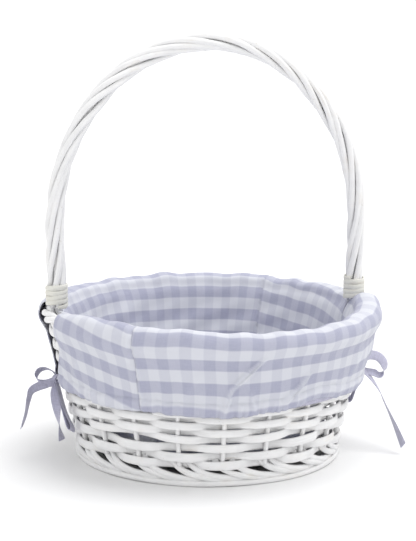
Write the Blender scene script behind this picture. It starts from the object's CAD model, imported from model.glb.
"""Looks for the lined wicker picnic basket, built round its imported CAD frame."""
import math

import bmesh
import bpy
import numpy as np
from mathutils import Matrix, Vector
from bpy.props import FloatProperty, FloatVectorProperty, IntProperty, PointerProperty


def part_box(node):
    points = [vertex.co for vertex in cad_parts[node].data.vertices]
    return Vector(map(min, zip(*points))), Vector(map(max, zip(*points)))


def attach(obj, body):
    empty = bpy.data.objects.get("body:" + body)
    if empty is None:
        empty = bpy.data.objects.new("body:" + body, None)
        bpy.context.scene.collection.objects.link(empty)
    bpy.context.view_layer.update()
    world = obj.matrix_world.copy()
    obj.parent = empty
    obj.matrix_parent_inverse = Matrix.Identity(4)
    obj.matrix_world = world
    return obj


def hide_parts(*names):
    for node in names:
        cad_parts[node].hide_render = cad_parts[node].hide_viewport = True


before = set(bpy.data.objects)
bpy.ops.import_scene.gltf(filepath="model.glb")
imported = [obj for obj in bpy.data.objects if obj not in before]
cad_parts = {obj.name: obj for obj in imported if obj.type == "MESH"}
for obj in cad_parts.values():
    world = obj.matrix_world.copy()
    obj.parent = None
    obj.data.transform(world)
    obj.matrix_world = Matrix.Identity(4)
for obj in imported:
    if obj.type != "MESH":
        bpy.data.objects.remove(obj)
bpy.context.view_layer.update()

bl_info = {
    "name": "Lined wicker basket",
    "version": (1, 0, 0),
    "blender": (4, 5, 0),
    "location": "View3D > Sidebar > Basket",
    "description": "Willow wall, roped handle, gingham liner and ribbon bows of a picnic basket",
    "category": "Object",
}

MM = 0.001
RIM_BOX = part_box("rim_border")
BODY = "root"
ROWS, LOW_ROWS = 17, 3          # weavers in all, and those below the open row
BLANK_R = 10.0                  # radius of a ring before it is shaped
CLOTH_T, RIBBON_T = 0.9 * MM, 0.45 * MM


# ---- settings

def length(name, description, default, low=0.0, high=1.0):
    return FloatProperty(name=name, description=description, default=default, min=low, max=high,
                         unit="LENGTH", precision=4)


def colour(name, description, default):
    return FloatVectorProperty(name=name, description=description, default=default, size=4,
                               subtype="COLOR", min=0.0, max=1.0)


class BasketSizes(bpy.types.PropertyGroup):
    foot_r: length("Foot radius", "Middle of the woven wall at the ground", 120 * MM)
    rim_r: length("Rim radius", "Middle of the woven wall at the rim", 149 * MM)
    rim_h: length("Rim height", "Top of the woven rim", 140 * MM)
    wall_curve: FloatProperty(name="Wall curve", description="How the wall flares; 1 is a cone", default=1.25)
    stakes: IntProperty(name="Stakes", description="Upright stakes in the wall", default=20, min=8, max=40)
    stake_turn: FloatProperty(name="First stake", description="Angle of the first stake from +X",
                              default=math.radians(-4.5), subtype="ANGLE")
    stake_radius: length("Stake radius", "Radius of an upright stake", 2.2 * MM)
    weaver_w: length("Weaver width", "Width of a weaver up the wall", 6.9 * MM)
    weaver_t: length("Weaver thickness", "Thickness of a weaver through the wall", 2.7 * MM)
    span: length("Handle half span", "Half the width of the handle", 143 * MM)
    leg_top: length("Leg height", "Height where the arch begins", 216 * MM)
    arch_h: length("Arch height", "Height of the arch above the legs", 168 * MM)
    arch_fullness: FloatProperty(name="Arch fullness", description="Squareness of the arch; 2 is an ellipse",
                                 default=2.02, min=2.0, max=2.5)
    leg_lean: length("Leg lean", "How far a leg leans in at its foot", 1.5 * MM)
    rod_r: length("Rod radius", "Radius of a handle rod", 2.9 * MM)
    rod_ring: length("Rod ring", "Radius of the circle on which the rods lie", 5.75 * MM)
    rod_turns: FloatProperty(name="Rod turns", description="Turns of the rods from foot to foot", default=3.3)
    bag_gap: length("Bag gap", "From the middle of the wall in to the liner", 13.0 * MM)
    flap_gap: length("Flap gap", "From the middle of the wall out to the flap", 8.4 * MM)
    hem_z: length("Hem height", "Height of the flap's lower edge", 69.5 * MM)
    bow_z: length("Bow height", "Height of the bows' knots", 74.5 * MM)
    casing_h: length("Casing height", "Height of the ribbon's casing along the hem", 11.5 * MM)
    seam_angle: FloatProperty(name="Seam", description="Angle between a handle foot and the panel seam",
                              default=math.radians(54.5), subtype="ANGLE")
    cut_r: length("Cloth width per radian", "Flat width of cloth to each radian round the basket", 170 * MM)
    check: length("Check", "Width of one stripe of the gingham", 11.2 * MM)
    ribbon_w: length("Ribbon width", "Width of the drawstring ribbon", 10.2 * MM)


class BasketColours(bpy.types.PropertyGroup):
    paint: colour("Paint", "White paint on the willow", (0.87, 0.87, 0.875, 1))
    willow: colour("Willow", "Bare willow where the paint is thin", (0.52, 0.46, 0.37, 1))
    cane: colour("Cane", "Cane of the handle's bindings", (0.76, 0.755, 0.70, 1))
    cloth_white: colour("Cloth white", "Undyed threads of the cloth", (0.64, 0.652, 0.71, 1))
    cloth_dye: colour("Cloth lavender", "Dyed threads of the cloth", (0.33, 0.338, 0.46, 1))
    ribbon: colour("Ribbon", "Colour of the drawstring ribbon", (0.36, 0.355, 0.455, 1))
    floor: colour("Floor", "Pale studio floor", (0.85, 0.85, 0.85, 1))


def sizes():
    return bpy.context.scene.basket_sizes


def colours():
    return bpy.context.scene.basket_colours


# ---- modelling helpers

def clear_selection():
    bpy.ops.object.select_all(action="DESELECT")


def select_only(obj):
    clear_selection()
    obj.select_set(True)
    bpy.context.view_layer.objects.active = obj


def points_of(obj):
    co = np.empty(len(obj.data.vertices) * 3)
    obj.data.vertices.foreach_get("co", co)
    return co.reshape(-1, 3)


def held(share):
    """Keeps a share between 0 and 1."""
    return np.clip(share, 0, 1)


def reshape(obj, places, *pattern):
    """Moves a primitive's points to their places, and keeps each point's place in the uncut or unbent
    material as the attribute that its finish reads."""
    mesh = obj.data
    mesh.vertices.foreach_set("co", np.ascontiguousarray(places, dtype=float).ravel())
    kept = mesh.attributes.new("pattern", "FLOAT_VECTOR", "POINT")
    columns = np.stack(np.broadcast_arrays(*pattern), 1)
    kept.data.foreach_set("vector", columns.astype(np.float32).ravel())
    mesh.update()
    return obj


def rod_blank(name, sides, cuts):
    """A straight rod of radius 1, from 0 to 1 along Z, cut across many times."""
    clear_selection()
    bpy.ops.mesh.primitive_cylinder_add(vertices=sides, radius=1.0, depth=1.0, end_fill_type="NGON")
    obj = bpy.context.object
    obj.name = name
    bpy.ops.object.mode_set(mode="EDIT")
    bpy.ops.mesh.select_mode(type="EDGE")
    bpy.ops.mesh.select_all(action="DESELECT")
    bm = bmesh.from_edit_mesh(obj.data)
    for edge in bm.edges:
        edge.select = abs(edge.verts[0].co.z - edge.verts[1].co.z) > 0.5
    bm.select_flush_mode()
    bmesh.update_edit_mesh(obj.data)
    bpy.ops.mesh.subdivide(number_cuts=cuts)
    bpy.ops.object.mode_set(mode="OBJECT")
    return obj


def ring_blank(name, steps, sides):
    """A torus whose tube has a radius of 1, with each point's angle round it and its place in the tube,
    outward and up."""
    clear_selection()
    bpy.ops.mesh.primitive_torus_add(major_radius=BLANK_R, minor_radius=1.0, major_segments=steps,
                                     minor_segments=sides)
    obj = bpy.context.object
    obj.name = name
    co = points_of(obj)
    return obj, np.arctan2(co[:, 1], co[:, 0]), np.hypot(co[:, 0], co[:, 1]) - BLANK_R, co[:, 2]


def sheet_blank(name, across, along):
    """A flat grid, with each point's place on it from -0.5 to 0.5 both ways."""
    clear_selection()
    bpy.ops.mesh.primitive_grid_add(x_subdivisions=across, y_subdivisions=along, size=1.0)
    obj = bpy.context.object
    obj.name = name
    co = points_of(obj)
    return obj, co[:, 0], co[:, 1]


def blunt(section, flat):
    """Pushes a round section's points towards a rounded rectangle."""
    return np.sign(section) * np.abs(section) ** flat


def unit_rows(v):
    return v / np.maximum(np.linalg.norm(v, axis=1, keepdims=True), 1e-12)


def spline(points, count):
    """Even points along a smooth curve through the given ones."""
    p = np.asarray(points, float)
    p = np.vstack([2 * p[0] - p[1], p, 2 * p[-1] - p[-2]])
    out = []
    for i in range(1, len(p) - 2):
        for t in np.linspace(0, 1, 24, endpoint=False):
            a, b, c, d = p[i - 1], p[i], p[i + 1], p[i + 2]
            out.append(0.5 * (2 * b + (c - a) * t + (2 * a - 5 * b + 4 * c - d) * t ** 2
                              + (3 * b - a - 3 * c + d) * t ** 3))
    out.append(p[-2])
    out = np.array(out)
    far = np.concatenate([[0], np.cumsum(np.linalg.norm(np.diff(out, axis=0), axis=1))])
    even = np.linspace(0, far[-1], count)
    return np.stack([np.interp(even, far, out[:, k]) for k in range(out.shape[1])], 1), far[-1]


def lay_along(t, side, out, path, wide):
    """Places for points t of the way along a path, side and out away from it. wide is the direction, or
    the direction at each of the path's points, in which side is counted."""
    path = np.asarray(path, float)
    heading = unit_rows(np.gradient(path, axis=0))
    wide = np.broadcast_to(np.asarray(wide, float), path.shape)
    up = unit_rows(np.cross(heading, wide))
    across = np.cross(up, heading)
    steps = np.linspace(0, 1, len(path))

    def at(rows):
        return np.stack([np.interp(t, steps, rows[:, k]) for k in range(3)], 1)

    return at(path) + side[:, None] * at(across) + out[:, None] * at(up)


def rod_along(name, path, half_w, half_t, wide, sides=8, flat=1.0, taper=(1.0, 1.0), seed=0.0):
    """A rod of oval section laid along a path, its ends drawn in to taper times its size."""
    path = np.asarray(path, float)
    obj = rod_blank(name, sides, len(path) - 2)
    co = points_of(obj)
    t = co[:, 2] + 0.5
    span = float(np.linalg.norm(np.diff(path, axis=0), axis=1).sum())
    near = held(t * span / (half_w * 4))
    far = held((1 - t) * span / (half_w * 4))
    scale = (taper[0] + (1 - taper[0]) * near) * (taper[1] + (1 - taper[1]) * far)
    lump = 1 + 0.05 * np.sin(t * span * 90 + seed * 7) + 0.03 * np.sin(t * span * 260 + seed * 3)
    side = blunt(co[:, 0], flat) * half_w * scale * lump
    out = blunt(co[:, 1], flat) * half_t * scale * lump
    places = lay_along(t, side, out, path, wide)
    return reshape(obj, places, t * span + seed, co[:, 0] * half_w, co[:, 1] * half_t)


def joined(objects, name):
    clear_selection()
    for obj in objects:
        obj.select_set(True)
    bpy.context.view_layer.objects.active = objects[0]
    if len(objects) > 1:
        bpy.ops.object.join()
    obj = bpy.context.object
    obj.name = name
    obj.data.name = name
    return obj


def outward(obj):
    """Turns every face of a closed piece outwards."""
    select_only(obj)
    bpy.ops.object.mode_set(mode="EDIT")
    bpy.ops.mesh.select_all(action="SELECT")
    bpy.ops.mesh.normals_make_consistent(inside=False)
    bpy.ops.object.mode_set(mode="OBJECT")


def solid_sheet(obj, thickness):
    """Gives a sheet its thickness, half to each side."""
    select_only(obj)
    wall = obj.modifiers.new("cloth", "SOLIDIFY")
    wall.thickness = thickness
    wall.offset = 0.0
    bpy.ops.object.modifier_apply(modifier=wall.name)
    outward(obj)


def finish_piece(obj, finish, *nodes):
    """Smooth faces, origin at the world's, finish, body and the CAD nodes that the piece stands for."""
    select_only(obj)
    bpy.ops.object.transform_apply(location=True, rotation=True, scale=True)
    bpy.ops.object.shade_smooth()
    obj.data.materials.clear()
    obj.data.materials.append(bpy.data.materials[finish])
    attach(obj, BODY)
    if nodes:
        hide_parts(*nodes)
    return obj


# ---- the basket's own shape

def wall_radius(z):
    s = sizes()
    return s.foot_r + (s.rim_r - s.foot_r) * (np.maximum(z, 0) / s.rim_h) ** s.wall_curve


def polar(r, a, z):
    return np.stack(np.broadcast_arrays(r * np.cos(a), r * np.sin(a), z), -1)


def row_height(row):
    """Middle of a weaver, counted from the foot. The open row is between the third and the fourth."""
    first, low_pitch, above_gap, pitch, spread = 20.0, 7.3, 44.4, 6.15, 2.4
    if row <= LOW_ROWS:
        return (first + (row - 1) * low_pitch) * MM
    up = row - LOW_ROWS - 1
    return (above_gap + up * pitch + spread * max(0, 1 - up / 4)) * MM


def settle(a, z):
    """Lowers a height where the rim sits low, more and more towards the rim."""
    return z - rim_dip(a) * held(z / sizes().rim_h) ** 3


def ripple(a, seed, waves):
    """A smooth wobble round the basket, within about -1 to 1, that closes on itself."""
    rng = np.random.default_rng(seed)
    total = np.zeros_like(a)
    weight = 0.0
    for n in waves:
        k = rng.uniform(0.5, 1.0)
        total += k * np.sin(n * a + rng.uniform(0, 2 * math.pi))
        weight += k
    return total / weight * 1.6


# ---- materials

def new_group(name, inputs, outputs):
    group = bpy.data.node_groups.new(name, "ShaderNodeTree")
    for kind, label, default in inputs:
        socket = group.interface.new_socket(label, in_out="INPUT", socket_type=kind)
        if default is not None:
            socket.default_value = default
    for kind, label in outputs:
        group.interface.new_socket(label, in_out="OUTPUT", socket_type=kind)
    return group, group.nodes.new("NodeGroupInput"), group.nodes.new("NodeGroupOutput")


def feed(value, socket):
    """Links a socket, or sets a plain value. Nodes go in the tree of the socket that feeds them."""
    if hasattr(value, "links"):
        socket.id_data.links.new(value, socket)
    else:
        socket.default_value = value


def preset(node, **values):
    """Sets sockets by name, with _ for each space."""
    for name, value in values.items():
        node.inputs[name.replace("_", " ")].default_value = value


def math_node(operation, a, b=None, c=None, clamp=False):
    node = a.id_data.nodes.new("ShaderNodeMath")
    node.operation = operation
    node.use_clamp = clamp
    for socket, value in zip(node.inputs, (a, b, c)):
        if value is not None:
            feed(value, socket)
    return node.outputs[0]


def stretched(vector, scale):
    node = vector.id_data.nodes.new("ShaderNodeVectorMath")
    node.operation = "MULTIPLY"
    feed(vector, node.inputs[0])
    node.inputs[1].default_value = scale
    return node.outputs[0]


def noise_node(vector, scale, detail=3.0, rough=0.55):
    node = vector.id_data.nodes.new("ShaderNodeTexNoise")
    preset(node, Scale=scale, Detail=detail, Roughness=rough)
    feed(vector, node.inputs["Vector"])
    return node.outputs["Fac"]


def span_node(value, low, high, to_low=0.0, to_high=1.0):
    node = value.id_data.nodes.new("ShaderNodeMapRange")
    preset(node, From_Min=low, From_Max=high, To_Min=to_low, To_Max=to_high)
    feed(value, node.inputs["Value"])
    return node.outputs["Result"]


def willow_skin_group():
    """Painted willow: where the paint is thin, how uneven its tone is, and the height of fibres and nicks."""
    group, source, sink = new_group(
        "willow_skin",
        [("NodeSocketVector", "Along Rod", None), ("NodeSocketVector", "Place", None),
         ("NodeSocketFloat", "Wear", 0.2)],
        [("NodeSocketFloat", "Bare"), ("NodeSocketFloat", "Tone"), ("NodeSocketFloat", "Height")],
    )
    along, place, wear = source.outputs[:3]
    fibres = noise_node(stretched(along, (60, 1500, 1500)), 1.0, 4.0, 0.6)
    streaks = noise_node(stretched(along, (25, 420, 420)), 1.0, 3.0)
    blotch = noise_node(place, 55.0, 4.0)
    nicks = noise_node(place, 330.0, 2.0)
    thin = math_node("MULTIPLY", span_node(blotch, 0.50, 0.72),
                     span_node(streaks, 0.42, 0.66))
    nick = span_node(nicks, 0.70, 0.78)
    bare = math_node("MAXIMUM", thin, nick)
    feed(math_node("MULTIPLY", bare, wear, clamp=True), sink.inputs["Bare"])
    feed(span_node(math_node("ADD", streaks, blotch), 0.7, 1.3), sink.inputs["Tone"])
    height = math_node("MULTIPLY_ADD", streaks, 0.5, fibres)
    feed(math_node("MULTIPLY_ADD", nick, -0.5, height), sink.inputs["Height"])


def thread_group():
    """Plain weave: the height of crossing threads, with uneven yarn, and a soft mottling of the dye."""
    group, source, sink = new_group(
        "plain_weave",
        [("NodeSocketVector", "Cut Place", None), ("NodeSocketFloat", "Threads per Metre", 2200.0)],
        [("NodeSocketFloat", "Height"), ("NodeSocketFloat", "Mottle")],
    )
    cut, count = source.outputs[0], source.outputs[1]
    split = group.nodes.new("ShaderNodeSeparateXYZ")
    feed(cut, split.inputs[0])
    turn = math_node("MULTIPLY", count, math.pi)
    warp = math_node("SINE", math_node("MULTIPLY", split.outputs["X"], turn))
    weft = math_node("SINE", math_node("MULTIPLY", split.outputs["Y"], turn))
    over = math_node("ABSOLUTE", math_node("MULTIPLY", warp, weft))
    slub = noise_node(stretched(cut, (140, 900, 1)), 1.0, 3.0)
    slub_up = noise_node(stretched(cut, (900, 140, 1)), 1.0, 3.0)
    yarn = math_node("ADD", slub, slub_up)
    feed(math_node("ADD", over, yarn), sink.inputs["Height"])
    feed(span_node(yarn, 0.75, 1.25), sink.inputs["Mottle"])


def gingham_group():
    """Gingham: how much of the dye shows, from the dyed stripes of warp and weft."""
    group, source, sink = new_group(
        "gingham_check",
        [("NodeSocketVector", "Cut Place", None), ("NodeSocketFloat", "Stripe", 0.011),
         ("NodeSocketFloat", "Weft Strength", 0.64), ("NodeSocketFloat", "Warp Strength", 0.22)],
        [("NodeSocketFloat", "Dye")],
    )
    cut, stripe, weft_dye, warp_dye = source.outputs[:4]
    split = group.nodes.new("ShaderNodeSeparateXYZ")
    feed(cut, split.inputs[0])
    total = None
    for axis, strength in (("Y", weft_dye), ("X", warp_dye)):
        cycle = math_node("DIVIDE", math_node("MULTIPLY", split.outputs[axis], math.pi), stripe)
        wave = math_node("COSINE", cycle)
        band = math_node("MULTIPLY", span_node(wave, -0.16, 0.16), strength)
        total = band if total is None else math_node("ADD", total, band, clamp=True)
    feed(total, sink.inputs["Dye"])


def new_material(name):
    material = bpy.data.materials.new(name)
    material.use_nodes = True
    return material, material.node_tree, material.node_tree.nodes["Principled BSDF"]


def group_node(tree, name):
    node = tree.nodes.new("ShaderNodeGroup")
    node.node_tree = bpy.data.node_groups[name]
    return node


def pattern_node(tree):
    node = tree.nodes.new("ShaderNodeAttribute")
    node.attribute_name = "pattern"
    return node.outputs["Vector"]


def mix_colour(fac, a, b):
    node = fac.id_data.nodes.new("ShaderNodeMix")
    node.data_type = "RGBA"
    feed(fac, node.inputs["Factor"])
    feed(a, node.inputs["A"])
    feed(b, node.inputs["B"])
    return node.outputs["Result"]


def bump(height, distance, shader, strength):
    node = height.id_data.nodes.new("ShaderNodeBump")
    preset(node, Distance=distance, Strength=strength)
    feed(height, node.inputs["Height"])
    feed(node.outputs["Normal"], shader.inputs["Normal"])


def willow_material(name, paint, bare, wear):
    material, tree, shader = new_material(name)
    skin = group_node(tree, "willow_skin")
    place = tree.nodes.new("ShaderNodeTexCoord")
    feed(pattern_node(tree), skin.inputs["Along Rod"])
    feed(place.outputs["Object"], skin.inputs["Place"])
    preset(skin, Wear=wear)
    dull = [c * 0.86 for c in paint[:3]] + [1]
    toned = mix_colour(skin.outputs["Tone"], dull, list(paint))
    feed(mix_colour(skin.outputs["Bare"], toned, list(bare)), shader.inputs["Base Color"])
    feed(span_node(skin.outputs["Tone"], 0, 1, 0.62, 0.46), shader.inputs["Roughness"])
    preset(shader, Specular_IOR_Level=0.35)
    bump(skin.outputs["Height"], 0.25 * MM, shader, 0.8)
    return material


def cloth_material(name):
    material, tree, shader = new_material(name)
    c, s = colours(), sizes()
    cut = pattern_node(tree)
    threads = group_node(tree, "plain_weave")
    feed(cut, threads.inputs["Cut Place"])
    check = group_node(tree, "gingham_check")
    feed(cut, check.inputs["Cut Place"])
    preset(check, Stripe=s.check)
    dyed = mix_colour(check.outputs["Dye"], list(c.cloth_white), list(c.cloth_dye))
    pale = [min(1, v * 1.07) for v in c.cloth_white[:3]] + [1]
    split = tree.nodes.new("ShaderNodeSeparateXYZ")
    feed(cut, split.inputs[0])
    worn = math_node("MULTIPLY_ADD", threads.outputs["Mottle"], 0.12, split.outputs["Z"], clamp=True)
    faded = mix_colour(worn, dyed, pale)
    feed(faded, shader.inputs["Base Color"])
    feed(span_node(threads.outputs["Mottle"], 0, 1, 0.82, 0.94), shader.inputs["Roughness"])
    preset(shader, Sheen_Weight=0.25, Sheen_Roughness=0.5, Specular_IOR_Level=0.2)
    bump(threads.outputs["Height"], 0.12 * MM, shader, 0.7)
    return material


def ribbon_material(name):
    material, tree, shader = new_material(name)
    c = colours()
    cut = pattern_node(tree)
    threads = group_node(tree, "plain_weave")
    preset(threads, Threads_per_Metre=3000)
    feed(cut, threads.inputs["Cut Place"])
    pale = [min(1, v * 1.35) for v in c.ribbon[:3]] + [1]
    mottle = threads.outputs["Mottle"]
    feed(mix_colour(mottle, list(c.ribbon), pale), shader.inputs["Base Color"])
    feed(span_node(mottle, 0, 1, 0.5, 0.64), shader.inputs["Roughness"])
    preset(shader, Sheen_Weight=0.3)
    bump(threads.outputs["Height"], 0.08 * MM, shader, 0.6)
    return material


def floor_material():
    material, tree, shader = new_material("studio_floor")
    place = tree.nodes.new("ShaderNodeTexCoord")
    grain = noise_node(place.outputs["Object"], 6.0, 2.0)
    c = colours().floor
    near = [v * 0.995 for v in c[:3]] + [1]
    feed(mix_colour(grain, near, list(c)), shader.inputs["Base Color"])
    preset(shader, Roughness=0.9, Specular_IOR_Level=0.1)
    return material


# ---- operators

class BASKET_OT_finishes(bpy.types.Operator):
    """Makes the shared shader groups and the finishes of willow, cane, cloth and ribbon"""
    bl_idname = "basket.finishes"
    bl_label = "Finishes"

    def execute(self, context):
        willow_skin_group()
        thread_group()
        gingham_group()
        c = colours()
        willow_material("white_willow", c.paint, c.willow, 0.35)
        willow_material("handle_willow", c.paint, c.willow, 0.5)
        willow_material("cane", c.cane, c.willow, 0.6)
        cloth_material("gingham")
        ribbon_material("ribbon_weave")
        return {"FINISHED"}


class BASKET_OT_stage(bpy.types.Operator):
    """Puts down the pale floor, the soft studio lights and the camera"""
    bl_idname = "basket.stage"
    bl_label = "Stage"

    def execute(self, context):
        clear_selection()
        bpy.ops.mesh.primitive_plane_add(size=240)
        floor = context.object
        floor.name = "studio_floor"
        floor.data.materials.append(floor_material())

        world = bpy.data.worlds.new("studio")
        context.scene.world = world
        world.use_nodes = True
        preset(world.node_tree.nodes["Background"], Color=(1, 1, 1, 1), Strength=0.98)

        light = bpy.data.lights.new("key_light", "SUN")
        light.angle = math.radians(48)
        light.energy = 1.75
        sun = bpy.data.objects.new("key_light", light)
        context.scene.collection.objects.link(sun)
        sun.rotation_euler = Vector((-0.34, -0.06, -1.0)).to_track_quat("-Z", "Y").to_euler()

        azimuth, rise, distance = math.radians(-11), math.radians(9.8), 1.5
        aim_height, aside, roll = 0.172, 1.4 * MM, math.radians(0.3)
        level = math.cos(rise)
        eye = np.array([math.sin(azimuth) * level, -math.cos(azimuth) * level, math.sin(rise)])
        camera = bpy.data.cameras.new("camera")
        camera.lens = 106.6
        camera.sensor_width = 36
        camera.clip_end = 400
        obj = bpy.data.objects.new("camera", camera)
        context.scene.collection.objects.link(obj)
        right = np.array([math.cos(azimuth), math.sin(azimuth), 0])
        obj.location = eye * distance - right * aside + np.array([0, 0, aim_height])
        obj.rotation_mode = "XYZ"
        obj.rotation_euler = (math.pi / 2 - rise, -roll, azimuth)
        context.scene.camera = obj
        context.scene.view_settings.view_transform = "Standard"
        return {"FINISHED"}


class BASKET_OT_base(bpy.types.Operator):
    """Weaves the round base: split sticks, sticks through them, and rings of strand over the spokes"""
    bl_idname = "basket.base"
    bl_label = "Base"

    def execute(self, context):
        low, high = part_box("base_weave")
        mid_z = (low.z + high.z) / 2
        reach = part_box("base_sticks_pierced")[1].x
        spokes, rings, first_ring = 16, 15, 33 * MM

        def stick(number, quarter):
            side = number - 1.5
            spread = side * 2 * math.pi / spokes
            ends = [(-1, 1.0), (-1, 0.55), (-1, 0.14), (1, 0.14), (1, 0.55), (1, 1.0)]
            path = []
            for way, share in ends:
                y = side * 4.7 * MM if share < 0.2 else reach * share * math.sin(spread)
                path.append((way * reach * share * math.cos(spread), y, mid_z))
            path = spline(path, 40)[0]
            if quarter:
                path = path[:, [1, 0, 2]] * [-1, 1, 1]
            return path

        for quarter, label, node in ((0, "split_base_sticks", "base_sticks_pierced"),
                                     (1, "through_base_sticks", "base_sticks_through")):
            half = 2.1 * MM if quarter == 0 else 1.3 * MM
            sticks = [rod_along("stick", stick(k, quarter), half, half * 0.95, (0, 0, 1), sides=10,
                                taper=(0.8, 0.8), seed=k + 4 * quarter) for k in range(4)]
            finish_piece(joined(sticks, label), "white_willow", node)

        strands = []
        for ring in range(rings):
            r = first_ring + (reach - 4 * MM - first_ring) * ring / (rings - 1)
            obj, a, u, v = ring_blank("strand", 128, 6)
            wave = np.cos(spokes / 2 * (a - math.pi / spokes) + math.pi * ring)
            lift = 3.4 * MM * np.sin(math.pi / 2 * wave) + 0.3 * MM * ripple(a, ring, (3, 5, 9))
            places = polar(r + u * 2.4 * MM, a, mid_z + lift + v * 1.4 * MM)
            strands.append(reshape(obj, places, a * r, u * 2.4 * MM, v * MM))
        finish_piece(joined(strands, "base_strands"), "white_willow", "base_weave")
        return {"FINISHED"}


class BASKET_OT_stakes(bpy.types.Operator):
    """Sets up the stakes of the wall"""
    bl_idname = "basket.stakes"
    bl_label = "Stakes"

    def execute(self, context):
        s = sizes()
        rods = []
        for k in range(s.stakes):
            a = s.stake_turn + k * 2 * math.pi / s.stakes
            sway = ripple(np.linspace(0, 6, 24), 400 + k, (1, 2, 3)) * 0.5 * MM
            z = np.linspace(17 * MM, 130 * MM, 24)
            path = polar(wall_radius(z), a + sway / s.rim_r, settle(a, z))
            rods.append(rod_along("stake", path, s.stake_radius, s.stake_radius,
                                  (math.cos(a), math.sin(a), 0), sides=10, seed=k * 1.3))
        finish_piece(joined(rods, "wall_stakes"), "white_willow", "side_stakes")
        return {"FINISHED"}


class BASKET_OT_foot(bpy.types.Operator):
    """Turns the stakes' butt ends sideways in pairs and lays them over the foot's two ground strands"""
    bl_idname = "basket.foot"
    bl_label = "Foot border"

    def execute(self, context):
        s = sizes()
        rng = np.random.default_rng(11)
        # A butt's way down and round: degrees on from its stake, height and way out, in millimetres
        lean = [(-1.5, 25, 0.4), (0, 20.0, 1.4), (2.4, 16.1, 2.9), (6.3, 12.4, 3.9), (11.4, 9.4, 3.7),
                (17.2, 7.4, 2.4), (25, 6.5, 0.2), (33, 6.2, -2.4), (42, 5.9, -5.2)]
        rods = []
        for k in range(2 * s.stakes):
            pair = 5.4 if k % 2 else 0.0
            a = s.stake_turn + (k // 2) * 2 * math.pi / s.stakes + math.radians(pair - 1.2)
            wobble = rng.normal(0, 1, 3)
            path = []
            for turn, z, out in lean:
                r = s.foot_r + (out + 0.15 * wobble[0]) * MM
                path.append(polar(r, a + math.radians(turn + 0.5 * wobble[1]), (z + 0.25 * wobble[2]) * MM))
            path = spline(path, 34)[0]
            rods.append(rod_along("butt", path, 2.2 * MM, 2.8 * MM, (math.cos(a), math.sin(a), 0),
                                  taper=(1, 0.35), seed=k * 0.7))
        for k, (r, z, half) in enumerate(((122.2, 2.9, 2.9), (116.2, 3.0, 2.9))):
            obj, a, u, v = ring_blank("ground_strand", 240, 10)
            thick = half * MM * (1 + 0.05 * ripple(a, 40 + k, (5, 9, 15)))
            tall = np.maximum(z * MM + v * thick + 0.25 * MM * ripple(a, 44 + k, (3, 7)), 0)
            places = polar(r * MM + u * thick + 0.3 * MM * ripple(a, 48 + k, (4, 9)), a, tall)
            rods.append(reshape(obj, places, a * s.foot_r + k, u * thick, v * thick))
        finish_piece(joined(rods, "foot_roll"), "white_willow", "foot_border")
        return {"FINISHED"}


class BASKET_OT_weavers(bpy.types.Operator):
    """Weaves the rows of the wall, each in front of one stake and behind the next"""
    bl_idname = "basket.weavers"
    bl_label = "Weavers"

    def execute(self, context):
        s = sizes()
        step = 2 * math.pi / s.stakes
        swing = s.stake_radius + s.weaver_t / 2
        # Rows beside the open row sag or rise to close it, except where it stays open
        shuts = {3: 1.8, 4: -3.2, 5: -1.9, 6: -1.0, 7: -0.4}
        for row in range(1, ROWS + 1):
            obj, a, u, v = ring_blank(f"willow_row_{row:02d}", 240, 12)
            u, v = blunt(u, 0.85), blunt(v, 0.7)
            wave = np.sin(math.pi / 2 * np.cos(math.pi * ((a - s.stake_turn) / step + row)))
            rough = ripple(a, row * 7, (3, 5, 8, 13))
            drift = ripple(a, row * 7 + 1, (2, 3, 5, 9, 14))
            closed = 1 - bump_at(a, 226, 20) - 0.7 * bump_at(a, 292, 9)
            z = row_height(row) + 0.4 * MM * drift + shuts.get(row, 0) * MM * closed
            stout = 1.12 if row <= LOW_ROWS else 1
            half_w = s.weaver_w / 2 * (1 + 0.06 * rough + 0.08 * np.abs(wave)) * stout
            half_t = s.weaver_t / 2 * (1 + 0.08 * drift)
            r = wall_radius(z) + wave * (swing + 0.3 * MM * rough) + 0.3 * MM * drift
            places = polar(r + u * half_t, a, settle(a, z + v * half_w))
            reshape(obj, places, a * s.rim_r + row, u * half_t, v * half_w)
            finish_piece(obj, "white_willow", f"weaver_{row:02d}")
        return {"FINISHED"}


class BASKET_OT_rim(bpy.types.Operator):
    """Twists the strands of the rim border together"""
    bl_idname = "basket.rim"
    bl_label = "Rim border"

    def execute(self, context):
        s = sizes()
        strands, twists = 3, 9
        mid_z = (RIM_BOX[0].z + RIM_BOX[1].z) / 2
        rods = []
        for k in range(strands):
            obj, a, u, v = ring_blank("rim", 300, 10)
            turn = twists * a + k * 2 * math.pi / strands
            half = 3.05 * MM * (1 + 0.06 * ripple(a, 50 + k, (4, 7, 11)))
            r = s.rim_r + 3.4 * MM * np.cos(turn)
            z = mid_z + 3.2 * MM * np.sin(turn)
            places = polar(r + u * half, a, settle(a, z + v * half))
            rods.append(reshape(obj, places, a * s.rim_r + k, u * half, v * half))
        finish_piece(joined(rods, "rim_strands"), "white_willow", "rim_border")
        return {"FINISHED"}


def handle_path(count):
    """Middle line of the handle, from the left foot to the right."""
    s = sizes()
    foot_z = s.rim_h + 1.5 * MM
    leg = s.leg_top - foot_z
    arch = math.pi * math.sqrt((s.span ** 2 + s.arch_h ** 2) / 2)
    far = np.linspace(0, 2 * leg + arch, count)
    up = held(far / leg)
    down = held((far - leg - arch) / leg)
    angle = held((far - leg) / arch) * math.pi
    power = 2 / s.arch_fullness
    wide, rise = np.cos(angle), np.abs(np.sin(angle))
    x = -s.span * np.sign(wide) * np.abs(wide) ** power + s.leg_lean * (1 - up) - s.leg_lean * down
    z = s.leg_top + s.arch_h * rise ** power - leg * (1 - up) - leg * down
    return np.stack([x, np.zeros(count), z], 1)


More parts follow.
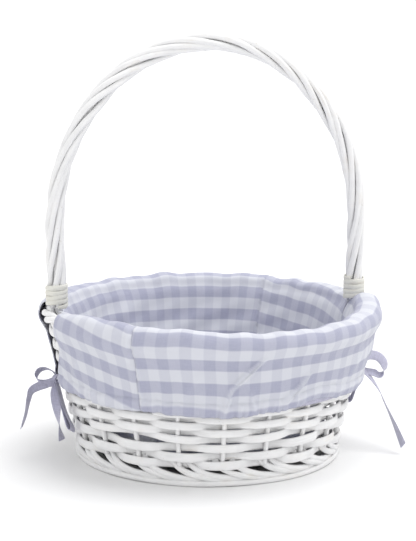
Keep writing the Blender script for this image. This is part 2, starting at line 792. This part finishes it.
class BASKET_OT_handle(bpy.types.Operator):
    """Twists the handle's rods round their core"""
    bl_idname = "basket.handle"
    bl_label = "Handle"

    def execute(self, context):
        s = sizes()
        rods, count = 6, 260
        line = handle_path(count)
        heading = unit_rows(np.gradient(line, axis=0))
        inward = np.cross([0, 1, 0], heading)
        t = np.linspace(0, 1, count)
        rng = np.random.default_rng(5)
        for k in range(rods):
            loose = 0.4 * MM * np.sin(t * 23 + k * 2.1) + 0.3 * MM * np.sin(t * 47 + k * 1.3)
            turn = (2 * math.pi * (s.rod_turns * t + k / rods) + 0.16 * np.sin(t * 17 + k * 2.6)
                    + 0.1 * np.sin(t * 39 + k))[:, None]
            ring = (s.rod_ring + loose)[:, None]
            path = line + ring * (np.cos(turn) * np.array([0, -1, 0]) + np.sin(turn) * inward)
            radius = s.rod_r * rng.uniform(0.9, 1.07)
            obj = rod_along(f"handle_willow_{k + 1}", path, radius, radius, (0, 1, 0), sides=12,
                            taper=(0.7, 0.7), seed=k * 2.3)
            finish_piece(obj, "handle_willow", f"handle_rod_{k + 1}")
        # The core's ends go on down inside the wall
        tail = np.array([(wall_radius(z * MM) - 8.8 * MM, 0, z * MM) for z in (74, 86, 98, 110, 122, 132)])
        path = np.vstack([tail * [-1, 1, 1], line[::4], line[-1:], tail[::-1]])
        core = rod_along("handle_core_rod", spline(path, 160)[0], 2.9 * MM, 2.9 * MM, (0, 1, 0), sides=10,
                         taper=(0.3, 0.3), seed=9)
        finish_piece(core, "handle_willow", "handle_core")
        return {"FINISHED"}


class BASKET_OT_bindings(bpy.types.Operator):
    """Winds flat cane round each foot of the handle"""
    bl_idname = "basket.bindings"
    bl_label = "Handle bindings"

    def execute(self, context):
        s = sizes()
        for side, label in ((-1, "left"), (1, "right")):
            turns, count = 4.4, 130
            a = side * math.pi / 2 + np.linspace(0, turns * 2 * math.pi, count)
            t = np.linspace(0, 1, count)
            wind = s.rod_ring + s.rod_r + 0.9 * MM + 0.35 * MM * np.sin(a * 6)
            z = s.rim_h + 3.2 * MM + 19.5 * MM * t + 0.35 * MM * np.sin(a * 1.7)
            x = side * (s.span - s.leg_lean + 0.5 * MM)
            path = polar(wind, a, z) + np.array([x, 0, 0])
            obj = rod_along("cane_" + label, path, 2.35 * MM, 0.95 * MM, (0, 0, 1), sides=10, flat=0.75,
                            taper=(0.6, 0.6), seed=side * 1.9)
            finish_piece(obj, "cane", "handle_binding_" + label)
        return {"FINISHED"}


# ---- liner

def panels():
    """Name, first and last angle of each panel, anticlockwise from the right-hand handle foot, and the slope
    and shift of its stripes. Then how far its first and last side stand back from a handle foot, in degrees
    at the bow, outside the rim and inside it, or None where the side is sewn to the next panel."""
    half, seam = math.pi, sizes().seam_angle
    return [
        ("right", 0.0, seam, 0.12, 0.40, (3.5, 9.0, 0.6), None),
        ("back", seam, half, 0.0, 0.23, None, (3.5, 8.5, 5.0)),
        ("left", half, half + seam, 0.175, 0.38, (6.5, 19.0, 13.0), None),
        ("front", half + seam, 2 * half, 0.0, -0.12, None, (3.0, 3.4, 0.6)),
    ]


def bump_at(a, centre, width):
    """A smooth bump of 1 round an angle, both in degrees."""
    away = (np.degrees(a) - centre + 180) % 360 - 180
    return np.exp(-(away / width) ** 2)


def bumps(a, *places):
    """Smooth bumps added up, each given by its height, centre and width."""
    return sum(height * bump_at(a, centre, width) for height, centre, width in places)


def rim_dip(a):
    """How far the hand-made rim lies below its even height."""
    return bumps(a, (3.0, 298, 30), (-1.2, 222, 24)) * MM


def ridge_lift(a):
    """How far the cloth rides above its even height over the rim."""
    lift = bumps(a, (5.5, 220, 17), (7.0, 351, 12), (2.0, 246, 12), (-1.8, 297, 24), (2.2, 97, 7),
                 (-1.2, 118, 14), (-1.0, 40, 16))
    return (lift + 0.7 * ripple(a, 71, (5, 8, 13)) + 0.8 * ripple(a, 72, (19, 27, 33))) * MM


def hem_lift(a):
    """How far the hem is drawn up above its even height."""
    lift = bumps(a, (2.2, 186, 16), (5.0, 303, 12), (-2.4, 264, 12), (1.5, 0, 14), (2.5, 128, 16),
                 (-1.6, 80, 14))
    return (lift + 0.5 * ripple(a, 73, (7, 11, 17)) + 0.35 * ripple(a, 74, (37, 53))) * MM


def panel_profile():
    """Radius and height of the cloth from the bag's floor up the inside, over the rim and down to the hem,
    its length, and the shares of it at which it leaves the inside and passes the ridge."""
    s = sizes()
    mid = (RIM_BOX[0].z + RIM_BOX[1].z) / 2
    top = s.rim_h + 3.2 * MM
    floor_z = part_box("liner_floor")[0].z + 1.2 * MM
    inside = [(wall_radius(z) - s.bag_gap, z) for z in np.linspace(floor_z, mid - 6 * MM, 9)]
    over = [
        (s.rim_r - s.bag_gap + 0.6 * MM, mid + 1 * MM), (s.rim_r - 9.6 * MM, s.rim_h + 0.4 * MM),
        (s.rim_r - 5 * MM, top - 0.6 * MM), (s.rim_r + 0.5 * MM, top), (s.rim_r + 5.6 * MM, top - 1.4 * MM),
        (s.rim_r + 8.8 * MM, s.rim_h - 3.6 * MM), (s.rim_r + 9.0 * MM, s.rim_h - 12 * MM),
    ]
    outside = [(wall_radius(z) + s.flap_gap, z) for z in np.linspace(s.rim_h - 24 * MM, s.hem_z, 7)]
    count = 400
    points, span = spline(inside + over + outside, count)
    crest = int(np.argmax(points[:, 1]))
    leaves = int(np.argmin(np.abs(points[:crest, 1] - mid)))
    return points, span, leaves / (count - 1), crest / (count - 1)


def crease(a, z, start, end, width, height):
    """A soft ridge of cloth along a line between two places given in degrees and millimetres."""
    s = sizes()
    turned = (a + math.pi) % (2 * math.pi) - math.pi
    (ax, az), (bx, bz) = ((math.radians(turn) * s.rim_r, up * MM) for turn, up in (start, end))
    dx, dz = bx - ax, bz - az
    px = turned * s.rim_r
    t = held(((px - ax) * dx + (z - az) * dz) / (dx * dx + dz * dz))
    away = np.hypot(px - ax - t * dx, z - az - t * dz)
    return height * MM * np.sin(math.pi * (0.1 + 0.8 * t)) * np.exp(-(away / (width * MM)) ** 2)


# Pull lines of the flap: start and end in degrees and millimetres, then width and height in millimetres
PULLS = (
    ((-82, 123), (-93, 92), 2.1, 5.5), ((-93, 95), (-95, 72), 2.1, 4.5), ((-64, 101), (-73, 78), 2.1, 5.5),
    ((-86, 92), (-84, 70), 2.2, 2.6), ((-104, 106), (-110, 74), 3.4, 1.1),
    ((-128, 100), (-121, 74), 3.6, 0.9),
    ((-33, 118), (-42, 78), 4.5, 1.6), ((-16, 112), (-12, 78), 4.0, 1.4), ((-150, 112), (-160, 80), 4.5, 1.2),
    ((-168, 110), (-172, 78), 3.5, 1.0), ((20, 112), (12, 78), 4.0, 1.5), ((70, 104), (62, 74), 3.0, 1.8),
    ((92, 112), (99, 76), 3.2, 1.6), ((120, 106), (127, 72), 3.6, 1.8), ((150, 108), (161, 76), 4.2, 1.6),
    ((40, 108), (33, 76), 3.6, 1.3),
)


def flap_folds(a, z):
    """How far the outer cloth stands out of its smooth shape: gathers at the hem, pulls and soft waves. The
    second result is the part that the pulls make."""
    s = sizes()
    low = held((s.hem_z + 30 * MM - z) / (30 * MM))
    fine = ripple(a, 61, (43, 58, 71, 83, 97))
    broad = ripple(a, 62, (9, 13, 19, 27))
    patchy = np.clip(0.55 + 0.5 * ripple(a, 63, (2, 3, 5)) + 0.5 * bump_at(a, 278, 16), 0.15, 1.3)
    out = low ** 1.7 * (fine * patchy + 1.1 * broad) * MM
    gathers = ripple(a, 66, (118, 141, 167)) * (0.35 + bumps(a, (1, 280, 17), (0.5, 330, 14)))
    out += MM * gathers * low ** 6
    out += 0.9 * MM * ripple(a + 6 * z, 64, (6, 10, 15)) * held((s.rim_h - 6 * MM - z) / (20 * MM))
    out += 3.6 * MM * bump_at(a, 344, 22) * held((z - s.hem_z) / (30 * MM))
    out += 4.5 * MM * bump_at(a, 352, 18) * np.exp(-((z - s.hem_z - 18 * MM) / (34 * MM)) ** 2)
    pulls = sum(crease(a, z, *pull) for pull in PULLS)
    return out + pulls, pulls


def hem_folds(a, z):
    """The swell of the ribbon's casing along the hem, and the puckered stitching above it."""
    s = sizes()
    up = z - s.hem_z - hem_lift(a)
    casing = np.exp(-((up - s.casing_h / 2) / (s.casing_h * 0.45)) ** 4)
    stitch = np.exp(-((up - s.casing_h - 0.6 * MM) / (0.9 * MM)) ** 2)
    pucker = ripple(a, 81, (61, 74, 89)) * 0.35 * MM
    return 1.5 * MM * casing - (0.9 * MM + pucker) * stitch


def bag_folds(a, z, v, leaves):
    """How far the cloth inside the basket stands out of its smooth shape, hanging slack."""
    inner = held((leaves - v) / leaves)
    slack = np.sin(math.pi * held(v / leaves))
    sag = (1.7 * ripple(a, 21, (7, 11, 17, 26)) + 1.2 * ripple(a + 20 * z, 22, (5, 9, 14)) - 2.6) * MM
    return slack * (np.where(v < leaves, sag, 0) - 2.0 * MM * inner ** 2 * held(3 * inner))


def seam_folds(a, z, away):
    """The gathered dip of a sewn seam and the soft ridge beside it, by the distance from the seam."""
    gather = 1 + 0.5 * np.sin(z * 900 + ripple(a, 82, (5, 9)) * 3)
    dip = gather * np.exp(-(away / (1.5 * MM)) ** 2)
    return 0.8 * MM * (np.exp(-((away - 4 * MM) / (2.2 * MM)) ** 2) - dip)


def side_angle(edge, way, slit, z, outside):
    """The angle of a panel's side at each height, given how far it stands back from the handle's foot."""
    if slit is None:
        return edge
    s = sizes()
    bow, outer, inner = (math.radians(angle) for angle in slit)
    rise = held((z - s.bow_z) / (s.rim_h - 10 * MM - s.bow_z)) ** 0.8
    open_in = held((z - 112 * MM) / (22 * MM))
    return edge + way * np.where(outside, bow + (outer - bow) * rise, inner * open_in)


def hang_panel(name, start, end, slope, shift, start_slit, end_slit):
    """Hangs one panel up the inside of the basket, over its rim and down to the gathered hem."""
    s = sizes()
    profile, span, leaves, crest = panel_profile()
    obj, u, v = sheet_blank("liner_panel_" + name, int(110 * (end - start)), 140)
    u, v = u + 0.5, v + 0.5
    steps = np.linspace(0, 1, len(profile))
    r = np.interp(v, steps, profile[:, 0])
    z = np.interp(v, steps, profile[:, 1])
    first = side_angle(start, 1, start_slit, z, v > crest)
    last = side_angle(end, -1, end_slit, z, v > crest)
    a = first + u * (last - first)
    from_first = a - first if start_slit is None else np.inf
    from_last = last - a if end_slit is None else np.inf
    from_seam = np.minimum(from_first, from_last) * s.rim_r

    outside = held((v - crest) / 0.06)
    over = np.exp(-((v - crest) / 0.10) ** 2)
    z = z + (ridge_lift(a) - 0.2 * rim_dip(a)) * over
    z = z + hem_lift(a) * held((s.hem_z + 45 * MM - z) / (45 * MM)) * outside
    out, pulls = (part * outside for part in flap_folds(a, z))
    out += hem_folds(a, z) * outside + bag_folds(a, z, v, leaves) + seam_folds(a, z, from_seam)
    out += 1.2 * MM * ripple(a, 75, (13, 21, 29)) * over

    from_hem = span * (1 - v)
    stripe = from_hem + slope * s.rim_r * (a - start) + shift * 2 * s.check
    stripe += 5 * MM * held(1 - from_hem / (10 * MM)) + 0.2 * pulls + 0.9 * MM * ripple(a, 84, (4, 7, 10))
    weft = s.cut_r * a - 9.6 * MM + 0.7 * MM * ripple(z * 20, 83, (3, 5))
    worn = 0.55 * held(pulls / (3 * MM)) ** 2
    reshape(obj, polar(r + out, a, z), weft, stripe, worn)
    solid_sheet(obj, CLOTH_T)
    finish_piece(obj, "gingham", "liner_wall_" + name, "flap_" + name)


def lay_bag_floor():
    """Lays the round cloth of the bag's floor: a square grid drawn in to a circle, a little uneven."""
    obj, x, y = sheet_blank("liner_base", 70, 70)
    x, y = 2 * x * np.sqrt(1 - 2 * y ** 2), 2 * y * np.sqrt(1 - 2 * x ** 2)
    floor_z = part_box("liner_floor")[0].z
    r = float(wall_radius(floor_z)) - sizes().bag_gap - 1.0 * MM
    a, far = np.arctan2(y, x), np.hypot(x, y)
    lift = (0.8 * ripple(a, 31, (3, 5, 8)) * far + 0.5 * np.sin(x * 9) * np.sin(y * 7)) * MM * (1 - far ** 6)
    places = np.stack([x * r, y * r, floor_z + 1.4 * MM + lift], 1)
    reshape(obj, places, x * r, y * r, 0)
    solid_sheet(obj, CLOTH_T)
    finish_piece(obj, "gingham", "liner_floor")


class BASKET_OT_liner(bpy.types.Operator):
    """Hangs the four liner panels up the inside of the basket, over its rim and down to the gathered hem"""
    bl_idname = "basket.liner"
    bl_label = "Liner"

    def execute(self, context):
        for panel in panels():
            hang_panel(*panel)
        lay_bag_floor()
        return {"FINISHED"}


# ---- ribbons

def ribbon_along(name, points, wide, twist, curl):
    """A flat ribbon along a smooth path, twisted evenly from end to end and pinched at the knot."""
    count = 56
    path, span = spline(points, count)
    heading = unit_rows(np.gradient(path, axis=0))
    side = np.asarray(wide, float)
    side = unit_rows(side - heading * (heading @ side)[:, None])
    up = np.cross(heading, side)
    angle = np.linspace(0, 1, count) * twist
    side = side * np.cos(angle)[:, None] + up * np.sin(angle)[:, None]
    obj, u, v = sheet_blank(name, 7, count - 1)
    t, across = v + 0.5, u * sizes().ribbon_w
    pinch = 1 - 0.45 * np.exp(-((t * span) / (7 * MM)) ** 2)
    bow = curl * (1 - (2 * u) ** 2) * MM
    reshape(obj, lay_along(t, across * pinch, bow, path, side), across, t * span, 0)
    solid_sheet(obj, RIBBON_T)
    return obj, span


def bow_places(side, stand, points):
    """From a bow's own frame, away from the basket, along the rim and up, in millimetres. The knot stands
    off the wall."""
    s = sizes()
    centre = float(wall_radius(s.bow_z)) + stand * MM
    p = np.asarray(points, float) * MM
    return np.stack([side * (centre + p[:, 0]), side * p[:, 1], s.bow_z + p[:, 2]], 1)


# The side of each bow, how far its knot stands off the wall, and its ribbons: each one's points, the
# direction in which its width lies at the knot, its twist in radians and its curl in millimetres
BOWS = {
    "left": (-1, 9, {
        "loop_up": ([(0, 0, 1), (4, -3, 5.5), (10, -6, 8), (16, -7, 6.5), (19, -6, 1.5), (16, -4, -3.5),
                     (9, -2, -5), (0, 0, -2)], (0.5, 0.65, 0.55), 0.4, 0.7),
        "loop_low": ([(1, 3, -2), (0, 11, -8), (-2, 20, -18), (-6, 29, -29), (-10, 34, -38), (-9, 35.5, -42),
                      (-7, 33, -39), (-4, 27, -27), (-1, 17, -15), (1, 4, -5)], (0.45, 0.6, 0.5), 0.15, 0.3),
        "tail_out": ([(2, 0, -2), (9, -1, -5), (17, 0, -7), (24, 0, -11), (27, 1, -19), (30, 2, -33),
                      (34, 2, -46)], (0.3, 0.15, 0.95), 1.1, 0.8),
        "tail_low": ([(1, 2, -3), (2, 3, -10), (2, 4, -20), (1, 5, -34), (-1, 5, -48), (-3, 6, -58)],
                     (0.95, 0.3, 0), -2.6, 0.7),
    }),
    "right": (1, 15, {
        "loop_up": ([(0, 0, -1), (5, 3, 5), (12, 4, 9), (20, 4, 8), (26, 3, 2), (26.5, 2, -4.5), (22, 1, -9),
                     (15, 0, -7), (7, 0, -5), (0, 0, -2)], (0.5, 0.65, 0.55), 0.35, 0.6),
        "loop_low": ([(0, 3, -2), (0, 9, -11), (-2, 14, -22), (-4, 18, -33), (-3, 18.5, -37), (-1, 16, -34),
                      (1, 12, -23), (2, 7, -12), (1, 3, -5)], (0.3, 0.8, 0.4), 0.2, 0.4),
        "tail_out": ([(3, -1, -3), (11, -5, -11), (17, -12, -21), (21, -21, -33), (26, -37, -50),
                      (30, -52, -66)], (0.25, 0.85, 0.35), -1.0, 0.5),
        "tail_low": ([(-2, 5, -5), (-6, 11, -14), (-10, 16, -27), (-13, 19, -40)], (0.3, 1, 0), 0.4, 0.5),
    }),
}


# The ribbons that stand for a CAD node of their bow
LEADING = {"loop_up": "bow_loops_", "tail_out": "bow_tails_"}


def tie_bow(label, side, stand, pieces):
    """Ties one bow: its loops and tails, and the knot that they come from."""
    for piece, (points, wide, twist, curl) in pieces.items():
        turned = (side * wide[0], side * wide[1], wide[2])
        obj, span = ribbon_along(f"ribbon_{piece}_{label}", bow_places(side, stand, points), turned,
                                 side * twist, curl)
        nodes = [LEADING[piece] + label] if piece in LEADING else []
        finish_piece(obj, "ribbon_weave", *nodes)
    knot, a, u, v = ring_blank("ribbon_knot_" + label, 40, 20)
    fold = 1 + 0.12 * np.sin(v * 9 + 2 * a) + 0.1 * np.sin(3 * a)
    band_r = 2.6 * MM + u * 1.5 * MM * fold
    x = band_r * np.cos(a) * 1.15
    z = band_r * np.sin(a) * 1.05
    y = v * 4.0 * MM * fold
    centre = bow_places(side, stand, [(0, 0, -0.5)])[0]
    reshape(knot, centre + np.stack([x, y, z], 1), a * 4 * MM, v * 4 * MM, 0)
    outward(knot)
    finish_piece(knot, "ribbon_weave", "bow_knot_" + label)


def thread_ribbon(label, start, end):
    """Runs a drawstring ribbon through the casing of the hem, between two angles in degrees."""
    s = sizes()
    obj, u, v = sheet_blank("ribbon_in_hem_" + label, 5, 150)
    a = np.radians(start + (v + 0.5) * (end - start))
    mid_z = s.hem_z + s.casing_h / 2
    z = mid_z + u * (s.ribbon_w - 1 * MM)
    r = wall_radius(z) + s.flap_gap - 1.6 * MM
    reshape(obj, polar(r, a, z), u * s.ribbon_w, a * s.rim_r, 0)
    solid_sheet(obj, RIBBON_T)
    finish_piece(obj, "ribbon_weave", "ribbon_" + label)


class BASKET_OT_bows(bpy.types.Operator):
    """Ties the drawstring ribbons in a bow below each foot of the handle"""
    bl_idname = "basket.bows"
    bl_label = "Bows"

    def execute(self, context):
        for label, bow in BOWS.items():
            tie_bow(label, *bow)
        thread_ribbon("front", 183, 357)
        thread_ribbon("back", 3, 177)
        return {"FINISHED"}


OPERATORS = (
    BASKET_OT_finishes, BASKET_OT_stage, BASKET_OT_base, BASKET_OT_stakes, BASKET_OT_foot, BASKET_OT_weavers,
    BASKET_OT_rim, BASKET_OT_handle, BASKET_OT_bindings, BASKET_OT_liner, BASKET_OT_bows,
)


class BASKET_PT_panel(bpy.types.Panel):
    """Lists the basket's pieces"""
    bl_idname = "BASKET_PT_panel"
    bl_label = "Lined basket"
    bl_space_type = "VIEW_3D"
    bl_region_type = "UI"
    bl_category = "Basket"

    def draw(self, context):
        for operator in OPERATORS:
            self.layout.operator(operator.bl_idname)


CLASSES = (BasketSizes, BasketColours) + OPERATORS + (BASKET_PT_panel,)


def register():
    for cls in CLASSES:
        bpy.utils.register_class(cls)
    bpy.types.Scene.basket_sizes = PointerProperty(type=BasketSizes)
    bpy.types.Scene.basket_colours = PointerProperty(type=BasketColours)


def unregister():
    del bpy.types.Scene.basket_colours
    del bpy.types.Scene.basket_sizes
    for cls in reversed(CLASSES):
        bpy.utils.unregister_class(cls)


def main():
    register()
    for operator in OPERATORS:
        group, name = operator.bl_idname.split(".")
        getattr(getattr(bpy.ops, group), name)()


if __name__ == "__main__":
    main()
